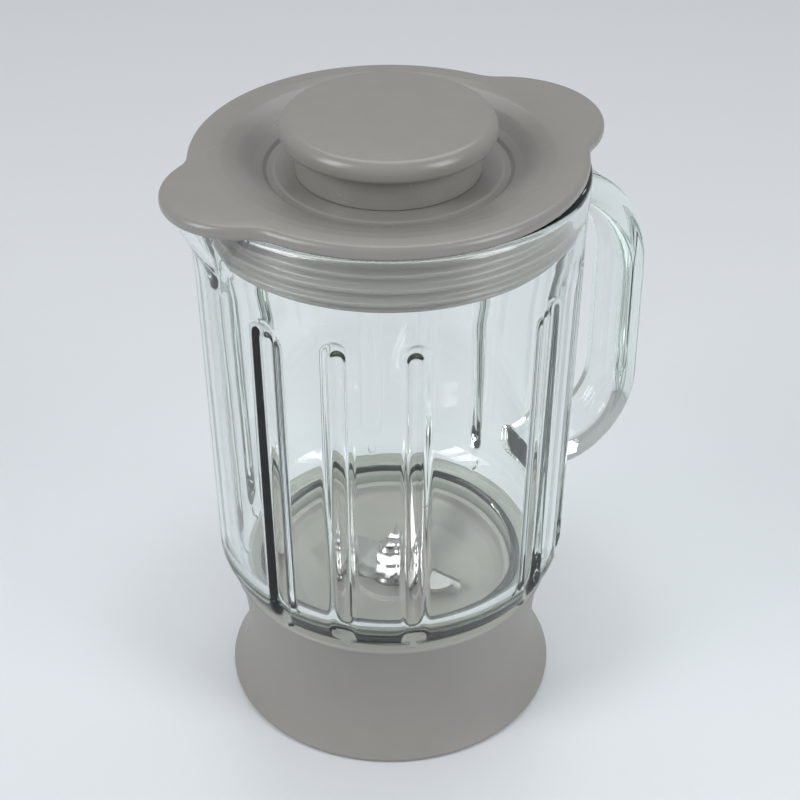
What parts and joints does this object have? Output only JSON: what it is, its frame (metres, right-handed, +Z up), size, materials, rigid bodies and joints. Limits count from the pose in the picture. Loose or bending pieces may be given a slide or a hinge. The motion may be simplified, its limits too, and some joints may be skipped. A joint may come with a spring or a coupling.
{
  "type": "blender jug",
  "caption": "Fluted glass blender jug with handle and spout, lobed lid, lift-out filler cap, flared screw-on base and a spinning blade unit in its floor.",
  "frame": {"origin": "on the jug's axis, in the plane that the base stands on", "axes": "+Z up along the jug's axis, the spout points to -X and the handle to +X"},
  "size_m": [0.186, 0.1358, 0.2353],
  "materials": {
    "grey_plastic": "moulded, satin to gloss",
    "clear_glass": "clear pressed glass",
    "grey_rubber": "soft satin",
    "dark_rubber": "matt",
    "black_plastic": "matt",
    "bronze": "sintered",
    "steel": "ground and polished",
    "bright_steel": "polished"
  },
  "bodies": {
    "base_unit": {"base": "grey_plastic", "blade_carrier": "grey_plastic", "sealing_ring": "dark_rubber", "shaft_lip_seal": "dark_rubber", "upper_bush": "bronze", "lower_bush": "bronze"},
    "goblet": {"glass_jug": "clear_glass"},
    "cover": {"lid": "grey_plastic", "lid_seal": "grey_rubber"},
    "stopper": {"filler_cap": "grey_plastic"},
    "blade_rotor": {"drive_shaft": "steel", "thrust_washer": "bronze", "blade_spacer": "bright_steel", "lower_blade": "steel", "upper_blade": "steel", "lock_washer": "steel", "blade_nut": "bright_steel", "lower_washer": "bronze", "circlip": "steel", "drive_dog": "black_plastic"}
  },
  "joints": [
    {"name": "jug_turn", "type": "hinge", "parent": "base_unit", "child": "goblet", "pos_m": [0, 0, 0.04], "axis": [0, 0, 1], "range_deg": [0, 45]},
    {"name": "lid_lift", "type": "slide", "parent": "goblet", "child": "cover", "axis": [0, 0, 1], "range_m": [0, 0.04]},
    {"name": "cap_lift", "type": "slide", "parent": "cover", "child": "stopper", "axis": [0, 0, 1], "range_m": [0, 0.03]},
    {"name": "blade_spin", "type": "hinge", "parent": "base_unit", "child": "blade_rotor", "pos_m": [0, 0, 0.04], "axis": [0, 0, 1], "continuous": true}
  ]
}
